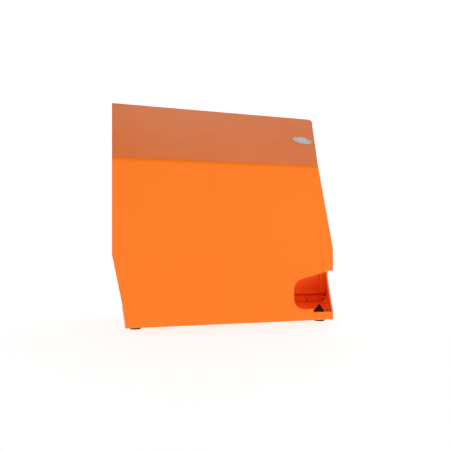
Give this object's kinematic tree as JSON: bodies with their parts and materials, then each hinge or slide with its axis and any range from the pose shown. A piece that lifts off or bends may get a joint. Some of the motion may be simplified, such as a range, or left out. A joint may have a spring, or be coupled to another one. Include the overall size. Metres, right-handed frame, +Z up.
{
  "type": "cable protector housing",
  "caption": "Free-standing orange sheet-metal cable protector housing with a sloping top, a hinged cover with a push latch, and an open corner notch where cables leave.",
  "frame": {"origin": "middle of the footprint on the surface that the feet rest on", "axes": "+X along the front face, +Y into the depth away from the front face, +Z up"},
  "size_m": [0.296, 0.1454, 0.2688],
  "materials": {
    "orange_paint": "satin powder coat",
    "inner_paint": "satin powder coat",
    "rubber": "matt",
    "steel": "zinc plated",
    "bright_trim": "satin"
  },
  "bodies": {
    "housing": {"base_tray": "orange_paint", "rear_panel": "orange_paint", "left_side_panel": "orange_paint", "right_side_panel": "orange_paint", "cable_rail": "inner_paint", "latch_keeper": "steel", "hinge_leaf_fixed_left": "steel", "hinge_leaf_fixed_right": "steel", "hinge_pin_left": "steel", "hinge_pin_right": "steel", "rail_screw_inner": "inner_paint", "rail_screw_outer": "inner_paint", "rear_screw_lower_left": "steel", "rear_screw_lower_right": "steel", "rear_screw_upper_left": "steel", "rear_screw_upper_right": "steel", "left_panel_screw_front": "inner_paint", "left_panel_screw_rear": "inner_paint", "right_panel_screw_front": "inner_paint", "right_panel_screw_rear": "inner_paint", "foot_front_left": "rubber", "foot_front_right": "rubber", "foot_rear_left": "rubber", "foot_rear_right": "rubber"},
    "cover": {"folded_cover": "orange_paint", "hinge_leaf_moving_left": "steel", "hinge_leaf_moving_right": "steel", "latch_barrel": "bright_trim", "latch_nut": "steel", "bolt_guide": "steel", "latch_spring": "steel"},
    "push_button": {"push_button": "bright_trim"},
    "latch_bolt": {"latch_bolt": "steel"}
  },
  "joints": [
    {"name": "cover_hinge", "type": "hinge", "parent": "housing", "child": "cover", "pos_m": [-0.038, 0.0699, 0.2625], "axis": [-1, 0, 0], "range_deg": [0, 100]},
    {"name": "button_press", "type": "slide", "parent": "cover", "child": "push_button", "axis": [0, 0.5592, -0.829], "range_m": [0, 0.003], "stiffness_N_per_m": 500},
    {"name": "bolt_slide", "type": "slide", "parent": "cover", "child": "latch_bolt", "axis": [-1, 0, 0], "range_m": [0, 0.003]}
  ],
  "couplings": [
    {"joint": "bolt_slide", "follows": "button_press", "ratio": 1}
  ]
}
